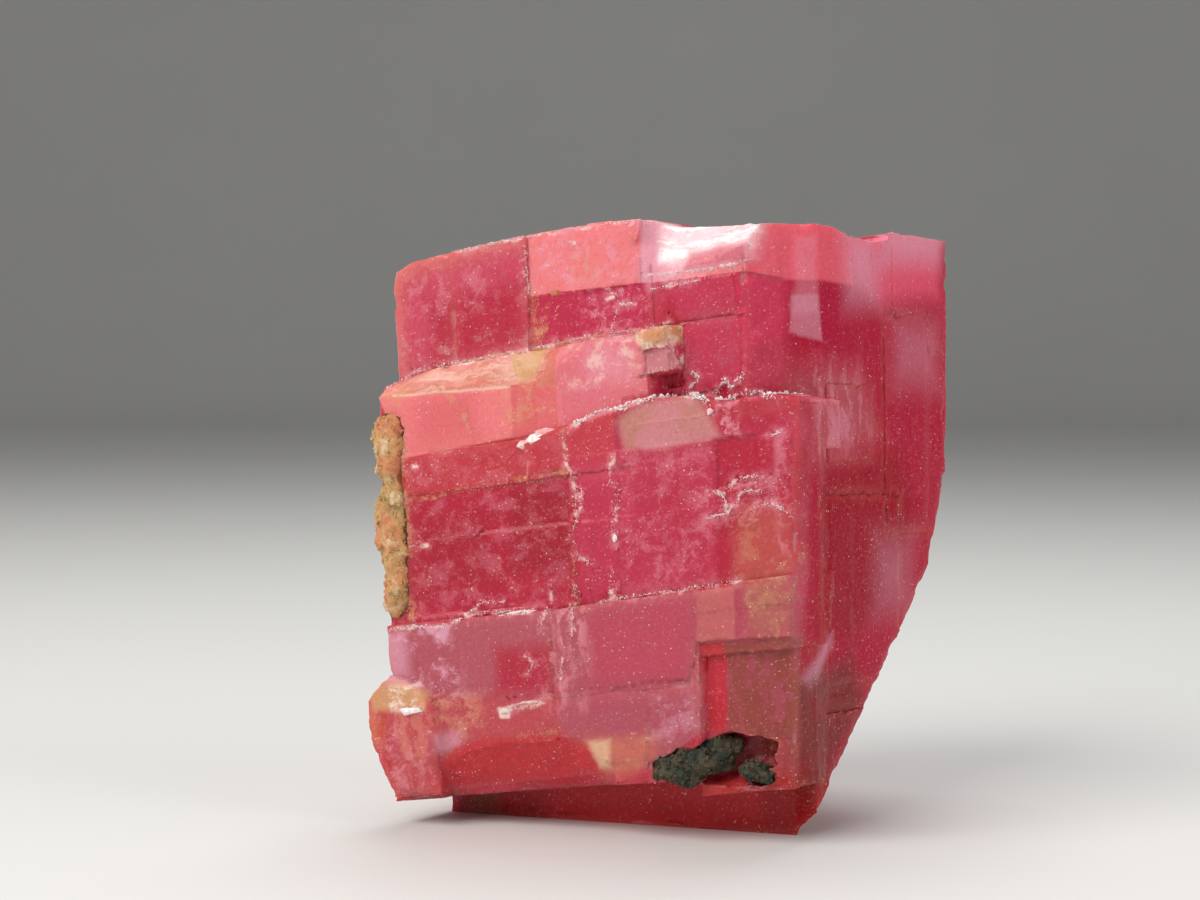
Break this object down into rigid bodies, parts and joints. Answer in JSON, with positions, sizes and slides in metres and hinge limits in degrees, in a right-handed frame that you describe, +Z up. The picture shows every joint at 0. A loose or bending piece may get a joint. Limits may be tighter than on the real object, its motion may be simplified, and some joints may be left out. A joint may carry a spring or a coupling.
{
  "type": "rhodochrosite specimen",
  "caption": "Small stepped cleavage block of pinkish-red rhodochrosite crystal with a tan crust strip and dark ore grains, standing on a flat broken base.",
  "frame": {"origin": "middle of the specimen's bounding box, on the flat base that it stands on", "axes": "+Z up; +X to the right of the main stepped face; +Y from the main face back into the block"},
  "size_m": [0.0168, 0.0134, 0.0169],
  "materials": {
    "rhodochrosite": "satin",
    "crust": "matte",
    "dark_ore": "matte"
  },
  "bodies": {
    "root": {"rhodochrosite_crystal": "rhodochrosite", "tan_crust": "crust", "dark_grain_large": "dark_ore", "dark_grain_small": "dark_ore"}
  },
  "joints": []
}
